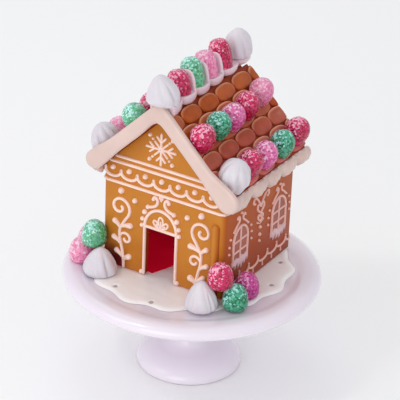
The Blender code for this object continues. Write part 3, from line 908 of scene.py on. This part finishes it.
def make_ornaments(material, pane_material, snow_material):
    middle = DOOR_X - 0.4
    pen = Ornament(middle, FRONT_Y, (0, -1, 0), 2.25, HALF_WIDTH, middle - HOUSE_X)
    pipe_gable_borders(pen)
    pipe_vines(pen)
    pipe_doorway(pen)
    pen.finish("front", material)
    for name, side in reversed(SIDES):
        pen = Ornament(HOUSE_X + side * HALF_WIDTH, MIDDLE_Y + 0.5, (side, 0, 0), 1.65, HALF_DEPTH,
                       side * 0.5)
        for middle in SIDE_WINDOWS:
            pipe_window(pen, middle)
        pipe_hanging(pen)
        pipe_garland(pen)
        make_window_parts(name, pen, SIDE_WINDOWS, pane_material, snow_material)
        pen.finish(name, material)
    pen = Ornament(HOUSE_X, BACK_Y, (0, 1, 0), 2.25, HALF_WIDTH, 0.0)
    pipe_gable_borders(pen)
    pipe_vines(pen)
    pen.width = 1.5
    pipe_window(pen, 0.0)
    make_window_parts("back", pen, (0.0,), pane_material, snow_material)
    pen.finish("back", material)


# -------- roof

SLAB_LENGTH = 70.0                       # along the slope's underside
DECK_HEIGHT = 5.2
TILE_TOP = 7.2                           # height of the sweets' seats, square to the slope
TILE_PITCH = 21.6
TILE_PHASE_Y = -16.4
TILE_HALF_WIDTH = 10.6
TILE_LENGTH = 11.9
TILE_LAYERS = ((0.25, -2.4), (0.0, -1.5), (0.0, -0.9), (0.12, -0.35), (0.4, 0.0), (0.9, 0.2),
               (1.9, 0.36), (3.6, 0.48))   # inset from the outline, and height
COURSE_PITCH = 11.15                     # down the slope
FIRST_COURSE_EDGE = 13.6
COURSES = 6


def slope_point(side, along, height, y):
    """Point at a distance down the slope's underside and a height square to it."""
    return Vector((HOUSE_X + side * (along + height) / ROOT2, y, APEX - (along - height) / ROOT2))


def tile_rings(side, edge, middle, draw):
    """Rings of one pillow-like tile, each tile a little crooked in its own way."""
    lift = draw.uniform(-0.1, 0.1)
    slant = draw.uniform(-0.3, 0.3)
    tone = draw.uniform(0.0, 1.0)
    length = TILE_LENGTH + draw.uniform(-0.4, 0.4)
    rings = []
    for inset, drop in TILE_LAYERS:
        ring = []
        for across, down in superellipse(TILE_HALF_WIDTH - inset, 0.5 * length - inset, 0.8, 40):
            down -= 0.5 * length
            top = 7.0 + 0.04 * down + lift + slant * across / TILE_PITCH
            y = min(ROOF_BACK_Y, max(ROOF_FRONT_Y + 0.2, middle + across))
            ring.append(slope_point(side, edge + down, top + drop, y))
        rings.append(ring)
    return rings, tone


def make_tiles(material):
    """Tiles in courses, each course half a tile along from the one above."""
    for name, side in SIDES:
        shape = Shape()
        draw = random.Random(11 if side > 0 else 12)
        for course in range(COURSES):
            shift = 0.0 if course % 2 == 0 else 0.5
            for column in range(-3, 6):
                middle = TILE_PHASE_Y + TILE_PITCH * (column - shift)
                if (middle + TILE_HALF_WIDTH < ROOF_FRONT_Y + 1.2
                        or middle - TILE_HALF_WIDTH > ROOF_BACK_Y - 1.0):
                    continue
                rings, tone = tile_rings(side, FIRST_COURSE_EDGE + COURSE_PITCH * course, middle,
                                         draw)
                shape.skin(rings, tint=0.10 * tone)
                # Painted highlight along the tile's upslope rim.
                shape.paint_rim_highlights(len(rings), len(rings[0]))
        add_piece("tiles_" + name, shape, material, ["roof_" + name], sharp=60.0)


def make_decks(material):
    """Plain slabs that the tiles lie on, mitred along the ridge."""
    mitre = 0.5 * GAP
    section = ((mitre, 0.0), (0.0, DECK_HEIGHT), (SLAB_LENGTH - 0.8, DECK_HEIGHT),
               (SLAB_LENGTH, DECK_HEIGHT - 0.7), (SLAB_LENGTH, 0.7), (SLAB_LENGTH - 0.8, 0.0))
    for name, side in SIDES:
        rings = []
        for y, draw in ((ROOF_FRONT_Y, 0.4), (ROOF_FRONT_Y + 0.4, 0.0), (ROOF_BACK_Y - 0.4, 0.0),
                        (ROOF_BACK_Y, 0.4)):
            ring = []
            for along, height in section:
                height = min(max(height, draw), DECK_HEIGHT - draw)
                point = slope_point(side, along, height, y)
                if side * (point.x - HOUSE_X) < mitre:
                    point.x = HOUSE_X + side * mitre
                ring.append(point)
            rings.append(ring)
        add_piece("roof_deck_" + name, Shape().skin(rings), material, sharp=35.0)


# -------- sweets

GUMDROP_TURN = radians(22.5)
RIDGE_LEAN = radians(13.0)


def node_middle(node):
    low, high = box_mm(node)
    return 0.5 * (low + high)


def leaning(side, angle):
    return Vector((side * sin(angle), 0.0, cos(angle)))


def sweet_frame(node):
    """The plane that a sweet sits on and its own axis, from the name of its node."""
    if "_mid_" in node or "_eave_" in node:
        side = -1 if "left" in node else 1
        return leaning(side, radians(45.0)), leaning(side, GUMDROP_TURN)
    if "gumdrop_ridge" in node or "ridge_front" in node:
        return UP, leaning(-1, RIDGE_LEAN)
    return UP, UP


def sweet_rings(normal, axis, profile, radius, height, sides, reach_of):
    """Rings round the axis, from the front towards +X, cut off by the plane they stand on."""
    across = (axis * axis.y - Vector((0.0, 1.0, 0.0))).normalized()
    aside = axis.cross(across)
    rings = []
    for width, level in profile:
        ring = []
        for i in range(sides):
            angle = TAU * i / sides
            reach = radius * width * reach_of(angle, level)
            point = axis * (height * level)
            point += across * (reach * cos(angle)) + aside * (reach * sin(angle))
            clearance = point.dot(normal)
            least = 0.35 * height * level
            if level == 0.0 or clearance < least:
                point += axis * ((least - clearance) / axis.dot(normal))
            ring.append(point)
        rings.append(ring)
    return rings


def add_sweet(name, node, profile, radius, height, sides, reach_of, material, sharp):
    """Make a sweet whose box has its middle where its node's box has its own."""
    normal, axis = sweet_frame(node)
    rings = sweet_rings(normal, axis, profile, radius, height, sides, reach_of)
    tip = axis * height
    points = [point for ring in rings for point in ring] + [tip]
    low = Vector([min(point[i] for point in points) for i in range(3)])
    high = Vector([max(point[i] for point in points) for i in range(3)])
    move = node_middle(node) - 0.5 * (low + high)
    rings = [[point + move for point in ring] for ring in rings]
    add_piece(name, Shape().skin(rings, tip=tip + move), material, [node], sharp=sharp)
    return rings


def dome_profile(base, shoulder, power, steps):
    """Widths and levels of a dome: out from the base to the shoulder, then over the top."""
    profile = [(base, 0.0), (mix(base, 1.0, 0.72), 0.35 * shoulder)]
    for i in range(steps):
        angle = 0.5 * pi * i / steps
        profile.append((cos(angle) ** power, shoulder + (1.0 - shoulder) * sin(angle)))
    return profile


GUMDROP_PROFILE = dome_profile(0.86, 0.30, 0.86, 10)
BARREL_PROFILE = dome_profile(0.94, 0.34, 0.55, 11)
GUMDROP_SIDES = 32
GUMDROP_SWELL = 1.035                    # makes up for the sweets' uneven outline
SLOPE_GUMDROP_HEIGHT = 14.6
COLOURS = {
    "ridge": ("red", "green", "pink", "red"),
    "mid_right": ("red", "green", "pink", "red", "light_pink"),
    "mid_left": ("green", "red", "light_pink", "green", "pink"),
    "eave_right": ("red", "pink", "green", "red"),
    "eave_left": ("pink", "green", "red", "light_pink"),
    "base_right": ("green", "pink", "red"),
    "base_left": ("pink", "light_pink", "green"),
}
TONES = {                                # sweets whose candy is a shade off their colour
    "base_right_2": "deep_pink", "eave_left_1": "light_pink", "base_left_1": "light_pink",
    "base_left_3": "light_green", "mid_left_1": "light_green", "ridge_2": "light_green",
    "ridge_3": "light_pink",
}
FLAKES_PER_GUMDROP = {"red": 60, "green": 60, "light_green": 34, "pink": 40, "light_pink": 20,
                      "deep_pink": 16}


def make_gumdrops(materials, flake_materials):
    flakes = {colour: Shape() for colour in flake_materials}
    for group, colours in COLOURS.items():
        for number, colour in enumerate(colours, 1):
            place = f"{group}_{number}"
            node = "gumdrop_" + place
            low, high = box_mm(node)
            radius, height = GUMDROP_SWELL * 0.5 * (high.y - low.y), SLOPE_GUMDROP_HEIGHT
            if group == "ridge" or "base" in group:
                height = (high.z - low.z) / sweet_frame(node)[1].z
            seed = sum(map(ord, node))

            def reach_of(angle, level):
                spot = Vector((cos(angle), sin(angle), 2.0 * level + seed))
                return 1.0 + 0.030 * noise.noise(spot)

            tone = TONES.get(place, colour)
            profile = BARREL_PROFILE if group == "ridge" else GUMDROP_PROFILE
            rings = add_sweet("candy_" + place, node, profile, radius, height, GUMDROP_SIDES,
                              reach_of, materials[tone], 70.0)
            scatter_flakes(flakes[colour], rings, FLAKES_PER_GUMDROP[tone], random.Random(seed))
    for colour, shape in flakes.items():
        add_piece("sugar_" + colour, shape, flake_materials[colour])


def scatter_flakes(shape, rings, count, draw):
    """Sugar grains, each a small crystal half sunk into the skin."""
    rows, columns = len(rings), len(rings[0])
    middle = sum((point for ring in rings for point in ring), Vector()) / (rows * columns)
    for _ in range(count):
        row = min(rows - 2, int(1 + (rows - 1) * draw.random() ** 0.9))
        column = draw.randrange(columns)
        here, above = rings[row], rings[row + 1]
        outward = (here[column] - middle).normalized()
        # Painted highlight: sugar flakes gather on the candy's lit side.
        if outward.dot(Vector(CANDY_LIGHT_SIDE)) < draw.uniform(-1.1, 0.7):
            continue
        beside = here[(column + 1) % columns]
        point = here[column].lerp(beside, draw.random()).lerp(above[column], draw.random())
        outward = (point - middle).normalized()
        across = outward.orthogonal().normalized()
        across = Matrix.Rotation(draw.uniform(0.0, TAU), 3, outward) @ across
        aside = outward.cross(across)
        size = draw.uniform(0.22, 0.48)
        belt = shape.add_ring([point + across * size * cos(a) + aside * size * sin(a)
                               for a in (0.0, 0.5 * pi, pi, 1.5 * pi)])
        for height in (0.75, -0.55):
            shape.fan(belt, point + outward * size * height)


DOLLOP_SIDES = 140
DOLLOP_RIBS = 9
SLOPE_DOLLOP_HEIGHT = 18.0
CREASE_DEPTHS = (0.13, 0.09)
CREASE_WIDTH = 0.11                      # in radians
KISS_PROFILE = ((0.90, 0.0), (0.965, 0.05), (0.995, 0.11), (1.0, 0.17), (0.985, 0.25),
                (0.95, 0.34), (0.90, 0.43), (0.83, 0.52), (0.75, 0.61), (0.66, 0.69),
                (0.56, 0.77), (0.45, 0.84), (0.34, 0.90), (0.22, 0.95), (0.11, 0.985))
PUFF_PROFILE = ((0.88, 0.0), (0.95, 0.05), (0.985, 0.12), (1.0, 0.20), (1.0, 0.30),
                (0.985, 0.40), (0.95, 0.50), (0.895, 0.59), (0.82, 0.68), (0.73, 0.76),
                (0.62, 0.83), (0.49, 0.89), (0.36, 0.94), (0.23, 0.972), (0.11, 0.992))
DOLLOPS = {                              # profile, depth of its folds, where its creases are
    "ridge_front": (KISS_PROFILE, 0.065, (78.0, -12.0)),
    "ridge_back": (PUFF_PROFILE, 0.10, (62.0, -40.0)),
    "eave_left": (PUFF_PROFILE, 0.12, (20.0, 100.0)),
    "eave_right": (PUFF_PROFILE, 0.12, (50.0, 170.0)),
    "base_left": (KISS_PROFILE, 0.065, (66.0, 12.0)),
    "base_right": (KISS_PROFILE, 0.065, (80.0, 0.0)),
}


def make_dollops(material):
    for place, (profile, fold_depth, creases) in DOLLOPS.items():
        node = "dollop_" + place
        low, high = box_mm(node)
        height = SLOPE_DOLLOP_HEIGHT
        if "eave" not in place:
            height = (high.z - low.z) / sweet_frame(node)[1].z
        seed = sum(map(ord, node))

        def reach_of(angle, level):
            swirl = angle + 0.5 * level + 0.02 * seed
            fold = sqrt(sin(0.5 * DOLLOP_RIBS * swirl) ** 2 + 0.015)
            fade = smoothstep(0.0, 0.15, level) * (1.0 - smoothstep(0.85, 1.0, level))
            lump = noise.noise(Vector((cos(angle), sin(angle), 1.5 * level + seed)))
            crease = 0.0
            for turn, depth in zip(creases, CREASE_DEPTHS):
                away = remainder(angle + 0.35 * level - radians(turn), TAU)
                depth *= exp(-(away / CREASE_WIDTH) ** 2)
                crease += depth * (1.0 - smoothstep(0.45, 0.8, level))
            relief = (fold_depth * (fold - 0.4) - crease) * (0.35 + 0.65 * fade)
            return 0.97 + relief + 0.09 * lump

        add_sweet("meringue_" + place, node, profile, 0.5 * (high.y - low.y) / 1.04, height,
                  DOLLOP_SIDES, reach_of, material, 80.0)


# -------- icing on the house

RIDGE_SWEETS = ("dollop_ridge_front", "gumdrop_ridge_1", "gumdrop_ridge_2", "gumdrop_ridge_3",
                "gumdrop_ridge_4", "dollop_ridge_back")
WEB_RISE = 13.4
WEB_HALF_WIDTH = 2.1
RIDGE_LOBES = (1.15, 1.0, 0.98, 0.94, 0.86, 0.70)     # how far each sweet's lobe hangs down
RIDGE_STEPS = 230
RIDGE_HANG = 5.8
RIDGE_HALF_WIDTH = 8.8


def lobe(y, notches):
    """Number of the lobe at y, and 1 in its middle down to 0 at the notches on either side."""
    for number, (low, high) in enumerate(zip(notches, notches[1:])):
        if y <= high:
            break
    offset = (2.0 * y - low - high) / (high - low)
    return number, sqrt(max(0.0, 1.0 - min(1.0, abs(offset)) ** 2.2))


def make_ridge_icing(material):
    """Icing over the ridge: a puffy lobe under each sweet and a thin web between neighbours."""
    middles = [node_middle(node).y for node in RIDGE_SWEETS]
    gaps = [0.5 * (a + b) for a, b in zip(middles, middles[1:])]
    webs = gaps[1:-1]
    notches = [middles[0] - 12.0, *(gap + 3.0 for gap in gaps), RIDGE_BACK_Y + 2.5]
    seat = APEX + TILE_TOP * ROOT2
    crest = RIDGE_TOP - 0.4
    rings = []
    for y in steps_between(ROOF_FRONT_Y, RIDGE_BACK_Y, RIDGE_STEPS):
        number, swell = lobe(y, notches)
        swell **= 1.4
        size = RIDGE_LOBES[number] * sqrt(max(0.02, min(1.0, (RIDGE_BACK_Y - y) / 3.0)))
        tip = RIDGE_HANG * size * (0.44 + 0.56 * swell)
        reach = RIDGE_HALF_WIDTH * size ** 0.7 * (0.60 + 0.40 * swell)
        away = min(abs(y - web) for web in webs) / WEB_HALF_WIDTH
        rise = WEB_RISE * sqrt(max(0.0, 1.0 - away * away))
        low = seat - tip
        half = [(tip, low - 0.5), (mix(tip, reach, 0.55), low + 0.5),
                (mix(tip, reach, 0.92), low + 2.0), (reach, mix(low, crest, 0.62)),
                (0.985 * reach, mix(low, crest, 0.86))]
        web = reach * mix(0.97, 0.86, rise / WEB_RISE)
        for angle in (0.5 * pi * step / 9 for step in range(1, 9)):
            half.append((web * cos(angle) ** 0.75, crest + max(0.25, rise) * sin(angle)))
        outline = [(0.0, seat - 1.4), *half, (0.0, crest + max(0.3, rise)),
                   *((-run, z) for run, z in reversed(half))]
        rings.append([(HOUSE_X + run, y, z) for run, z in outline])
    add_piece("icing_ridge", Shape().skin(rings), material, ["ridge_icing"],
              sharp=80.0)


EAVE_NOTCHES = (-38.0, -7.6, 11.8, 30.8, 51.9, 71.0)
EAVE_FOLD_PITCH = 9.6
EAVE_FOLD_DEPTH = 0.32
EAVE_END = 3.0                           # length of the rounded back end
EAVE_STEPS = 240


def eave_ring(side, y, swell, shrink=0.0):
    """Section of the eave's bead, with slanting folds as if it had been twisted while piped."""
    section = ((69.9, 4.6 + 1.9 * swell), (71.2, 5.2 + 2.4 * swell),
               (72.5 + 1.8 * swell, 4.7 + 2.6 * swell), (73.7 + 3.6 * swell, 3.5 + 1.7 * swell),
               (74.4 + 4.7 * swell, 1.6), (74.2 + 4.8 * swell, -0.6 - 2.8 * swell),
               (73.0 + 3.2 * swell, -1.9 - 3.6 * swell), (71.6 + 1.3 * swell, -2.4 - 2.3 * swell),
               (70.2, -1.6), (70.2, 2.0), (69.8, 5.0))     # down the slope, and height
    middle = Vector((72.6, 2.2))
    points = []
    for number, pair in enumerate(section):
        fold = abs(sin(pi * (y / EAVE_FOLD_PITCH + 0.14 * number)))
        depth = EAVE_FOLD_DEPTH * (1.0 - fold) if 1 <= number <= 7 else 0.0
        spot = Vector(pair).lerp(middle, max(shrink, depth))
        points.append(slope_point(side, spot.x, spot.y, y))
    return points


def make_eave_icing(material):
    back = EAVE_BACK_Y - EAVE_END
    for name, side in SIDES:
        rings = [eave_ring(side, y, lobe(y, EAVE_NOTCHES)[1] ** 2.1)
                 for y in steps_between(ROOF_FRONT_Y, back, EAVE_STEPS)]
        swell = lobe(back, EAVE_NOTCHES)[1] ** 2.1
        rings += [eave_ring(side, back + EAVE_END * sin(angle), swell, 1.0 - cos(angle))
                  for angle in (0.35, 0.7, 1.0, 1.25, 1.45)]
        add_piece("icing_eave_" + name, Shape().skin(rings), material,
                  ["eave_icing_" + name], sharp=80.0)


GABLE_BAND = 10.2
GABLE_REACH = {-1: 66.0, 1: 69.0}        # along each slope, to the middle of the round end
GABLE_FLARE = {-1: 2.0, 1: 5.0}          # how much wider the band is there
GABLE_STEPS = 60


def gable_station(side, along):
    """Inner and outer edge of the band, at a distance down one slope."""
    flare = smoothstep(GABLE_REACH[side] - 26.0, GABLE_REACH[side], along)
    run = along / ROOT2
    inner = Vector((HOUSE_X + side * run, 0.0, APEX - hypot(run, 3.0) - 0.9 * flare
                    + 0.8 * (1.0 - smoothstep(4.0, 20.0, along))))
    inner.x -= side * 0.9 * flare + 0.9 * (1.0 - smoothstep(6.0, 24.0, along))
    open_up = min(1.0, along / 5.0)
    width = (GABLE_BAND + GABLE_FLARE[side] * flare) / ROOT2
    outer = Vector((HOUSE_X + side * (run + open_up * width), 0.0,
                    min(RIDGE_TOP - 0.3, APEX - run + (2.0 - open_up) * width)))
    return inner, outer


def make_gable_icing(material):
    """One smooth band up one slope, over the apex and down the other."""
    depth = 0.5 * (ROOF_FRONT_Y - GAP - GABLE_FRONT_Y)
    stations = [gable_station(-1, GABLE_REACH[-1] * (1.0 - i / GABLE_STEPS))
                for i in range(GABLE_STEPS)]
    stations += [gable_station(1, GABLE_REACH[1] * i / GABLE_STEPS)
                 for i in range(GABLE_STEPS + 1)]

    def ring(inner, outer, ahead, close):
        centre, half = 0.5 * (inner + outer), 0.5 * (outer - inner)
        centre = centre + ahead * half.length * sin(close)
        centre.y = GABLE_FRONT_Y + depth
        half = half * cos(close)
        thick = depth * cos(close) ** 0.35
        return [centre + half * a + Vector((0.0, -d, 0.0))
                for a, d in superellipse(1.0, thick, 0.66, 32)]

    caps = [radians(a) for a in (86.0, 74.0, 60.0, 45.0, 30.0, 15.0)]
    left_end, right_end = (Vector((side, 0.0, -1.0)) / ROOT2 for _, side in SIDES)
    rings = [ring(*stations[0], left_end, angle) for angle in caps]
    rings += [ring(inner, outer, UP, 0.0) for inner, outer in stations]
    rings += [ring(*stations[-1], right_end, angle) for angle in reversed(caps)]
    add_piece("icing_gable", Shape().skin(rings), material,
              ["gable_icing_left", "gable_icing_right"], sharp=80.0)


# -------- stage

def look_from(azimuth, elevation, roll, distance, slide, lift, raise_mm):
    """Camera place and turn: it looks along the line that it stands back on, slid sideways."""
    a, e, r = (radians(value) for value in (azimuth, elevation, roll))
    back = Vector((sin(a) * cos(e), -cos(a) * cos(e), sin(e)))
    right = Vector((cos(a), sin(a), 0.0))
    up = back.cross(right)
    across = right * cos(r) - up * sin(r)
    above = up * cos(r) + right * sin(r)
    place = back * distance + across * slide + above * lift + UP * raise_mm
    turn = Matrix((across, above, back)).transposed().to_4x4()
    return Matrix.Translation(place * MM) @ turn


LENS = 191.7


def make_camera():
    data = bpy.data.cameras.new("camera")
    data.lens = LENS
    data.clip_start = 0.05
    data.clip_end = 20.0
    camera = link(bpy.data.objects.new("camera", data))
    camera.matrix_world = look_from(azimuth=30.61, elevation=27.72, roll=-2.35, distance=1500.0,
                                    slide=7.2, lift=88.25, raise_mm=27.0)
    bpy.context.scene.camera = camera


LIGHTS = {                               # place, aim's height, size, power, colour
    "key": ((-0.75, -0.95, 1.0), 0.13, 0.6, 1.5, (1.0, 0.98, 0.95)),
    "spark": ((-0.5, -0.95, 1.55), 0.16, 0.22, 2.2, (1.0, 1.0, 1.0)),
    "fill": ((0.2, -1.3, 0.3), 0.08, 0.8, 3.2, (1.0, 0.99, 0.99)),
    "top": ((-0.6, 0.5, 1.3), 0.15, 0.7, 1.0, (1.0, 1.0, 1.0)),
}
WORLD_STRENGTH = 0.82
FLOOR_HALF = 6000.0
FLOOR_THICKNESS = 20.0


def make_stage():
    corners = [(a * FLOOR_HALF, b * FLOOR_HALF) for a, b in ((-1, -1), (1, -1), (1, 1), (-1, 1))]
    floor = upright("floor", corners, -FLOOR_THICKNESS, 0.0,
                    Paint("floor").shade((0.97, 0.97, 0.97), Roughness=0.7))
    floor.data.set_sharp_from_angle(angle=radians(30.0))
    world = bpy.data.worlds.new("studio")
    world.use_nodes = True
    background = world.node_tree.nodes["Background"]
    background.inputs["Color"].default_value = (0.97, 0.98, 1.0, 1.0)
    background.inputs["Strength"].default_value = WORLD_STRENGTH
    bpy.context.scene.world = world
    for name, (place, aim_height, size, power, colour) in LIGHTS.items():
        data = bpy.data.lights.new(name, 'AREA')
        data.shape = 'DISK'
        data.size = size
        data.energy = power
        data.color = colour
        light = link(bpy.data.objects.new(name, data))
        light.location = place
        aim = Vector((0.0, 0.0, aim_height)) - Vector(place)
        light.rotation_euler = aim.to_track_quat('-Z', 'Y').to_euler()
    bpy.context.scene.view_settings.view_transform = 'Standard'


CANDY = {                                # deep, main and pale tone, and the rim's
    "red": ((0.34, 0.0, 0.030), (0.66, 0.008, 0.115), (1.0, 0.46, 0.62), (1.0, 0.60, 0.74)),
    "green": ((0.01, 0.17, 0.07), (0.06, 0.40, 0.24), (0.44, 0.86, 0.80), (0.70, 0.98, 0.84)),
    "pink": ((0.60, 0.07, 0.29), (0.80, 0.17, 0.42), (1.0, 0.60, 0.78), (1.0, 0.72, 0.84)),
    "light_pink": ((0.76, 0.17, 0.37), (0.87, 0.30, 0.49), (1.0, 0.62, 0.76), (1.0, 0.80, 0.88)),
    "deep_pink": ((0.44, 0.015, 0.20), (0.62, 0.055, 0.32), (0.90, 0.36, 0.62),
                  (1.0, 0.60, 0.80)),
    "light_green": ((0.08, 0.33, 0.11), (0.14, 0.52, 0.32), (0.56, 0.92, 0.88),
                    (0.76, 0.98, 0.88)),
}
SUGAR = {"red": (0.93, 0.36, 0.48), "green": (0.42, 0.82, 0.72), "pink": (0.94, 0.54, 0.70),
         "light_pink": (0.98, 0.75, 0.82)}


def main():
    plastic = plastic_material
    gingerbread, piping = gingerbread_material(), piping_material()
    side_icing = plastic("beige_icing", (0.725, 0.548, 0.492), (0.675, 0.50, 0.448), 40.0, 0.36,
                         coat=0.3, subsurface=0.15)
    meringue = plastic("meringue", (0.735, 0.695, 0.74), (0.68, 0.635, 0.69), 50.0, 0.5,
                       subsurface=0.2, bump=0.15)
    ridge_icing = plastic("ridge_icing", (0.83, 0.66, 0.73), (0.79, 0.58, 0.65), 70.0, 0.35,
                          coat=0.2, subsurface=0.3)
    stand = plastic("stand", (0.86, 0.795, 0.875), (0.82, 0.75, 0.84), 9.0, 0.22, coat=0.6,
                    bump=0.02)
    sheet = plastic("poured_icing", (0.97, 0.94, 0.94), (0.93, 0.89, 0.89), 55.0, 0.38, coat=0.2,
                    bump=0.12)
    pane = plastic("pane", (0.38, 0.085, 0.040), (0.31, 0.060, 0.030), 60.0, 0.35)
    snow = plastic("sill_snow", (0.72, 0.48, 0.50), (0.62, 0.38, 0.40), 90.0, 0.45)
    hole = plastic("pin_hole", (0.50, 0.45, 0.45), (0.38, 0.34, 0.34), 90.0, 0.6)
    deck = plastic("tile_bed", (0.33, 0.048, 0.009), (0.26, 0.028, 0.006), 70.0, 0.3,
                   specular=0.12)
    inside = interior_material()
    make_camera()
    make_stage()
    make_stand(stand)
    make_icing_sheet(sheet, hole)
    make_walls(gingerbread, inside)
    make_painted_shade_floor(inside)
    make_corner_rib(gingerbread)
    make_ornaments(piping, pane, snow)
    make_decks(deck)
    make_tiles(tile_material())
    make_gable_icing(side_icing)
    make_eave_icing(side_icing)
    make_ridge_icing(ridge_icing)
    make_gumdrops({name: gumdrop_material("candy_" + name, *tones)
                   for name, tones in CANDY.items()},
                  {name: flake_material("sugar_" + name, colour)
                   for name, colour in SUGAR.items()})
    make_dollops(meringue)


main()
